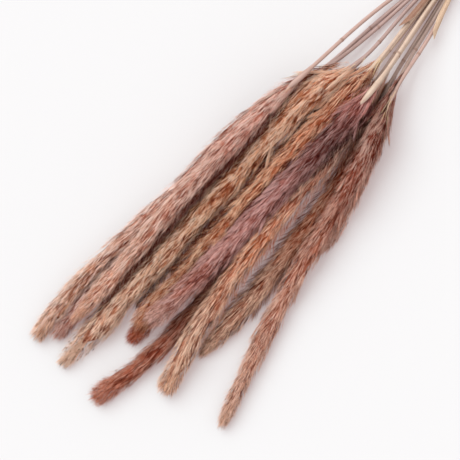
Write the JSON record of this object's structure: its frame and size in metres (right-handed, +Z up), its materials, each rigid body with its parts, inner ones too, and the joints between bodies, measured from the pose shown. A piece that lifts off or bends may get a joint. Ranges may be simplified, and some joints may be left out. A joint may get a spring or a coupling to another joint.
{
  "type": "bundle of dried reed grass",
  "caption": "Loose bundle of dried, brushed reed plumes on long stems, tied with twine near the cut ends and lying flat.",
  "frame": {"origin": "bottom centre of the bounding box, on the surface that the bundle lies on", "axes": "+Y along the bundle, from the plume tips to the cut stem ends; +Z up from the surface; +X across the bundle"},
  "size_m": [0.1592, 0.5688, 0.0389],
  "materials": {
    "mauve_hair": "soft matte dyed grass hair, dusty mauve brown",
    "golden_hair": "soft matte dyed grass hair, golden tan",
    "russet_hair": "soft matte dyed grass hair, russet brown",
    "beige_hair": "soft matte dyed grass hair, beige tan",
    "brown_hair": "soft matte dyed grass hair, warm brown",
    "pinkish_stem": "dry satin grass stem, pinkish beige",
    "straw_stem": "dry satin grass stem, pale straw",
    "mauve_stem": "dry satin grass stem, dyed mauve",
    "grey_stem": "dry satin grass stem, greyish beige",
    "dark_leaf": "dry dark brown leaf sheath",
    "pale_leaf": "dry pale leaf sheath",
    "twine": "plain natural twine"
  },
  "bodies": {
    "root": {"plume_a": "mauve_hair", "plume_b": "mauve_hair", "plume_c": "mauve_hair", "plume_d": "golden_hair", "plume_e": "russet_hair", "plume_f": "golden_hair", "plume_g": "mauve_hair", "plume_h": "russet_hair", "plume_i": "beige_hair", "plume_j": "brown_hair", "plume_k": "mauve_hair", "plume_l": "mauve_hair", "stem_a": "mauve_stem", "stem_b": "mauve_stem", "stem_c": "pinkish_stem", "stem_d": "mauve_stem", "stem_e": "straw_stem", "stem_f": "straw_stem", "stem_g": "straw_stem", "stem_h": "grey_stem", "stem_i": "straw_stem", "stem_j": "grey_stem", "stem_k": "pinkish_stem", "stem_l": "grey_stem", "sheath_dark": "dark_leaf", "sheath_pale": "pale_leaf", "twine_wrap": "twine", "twine_knot": "twine", "twine_end_left": "twine", "twine_end_right": "twine"}
  },
  "joints": []
}
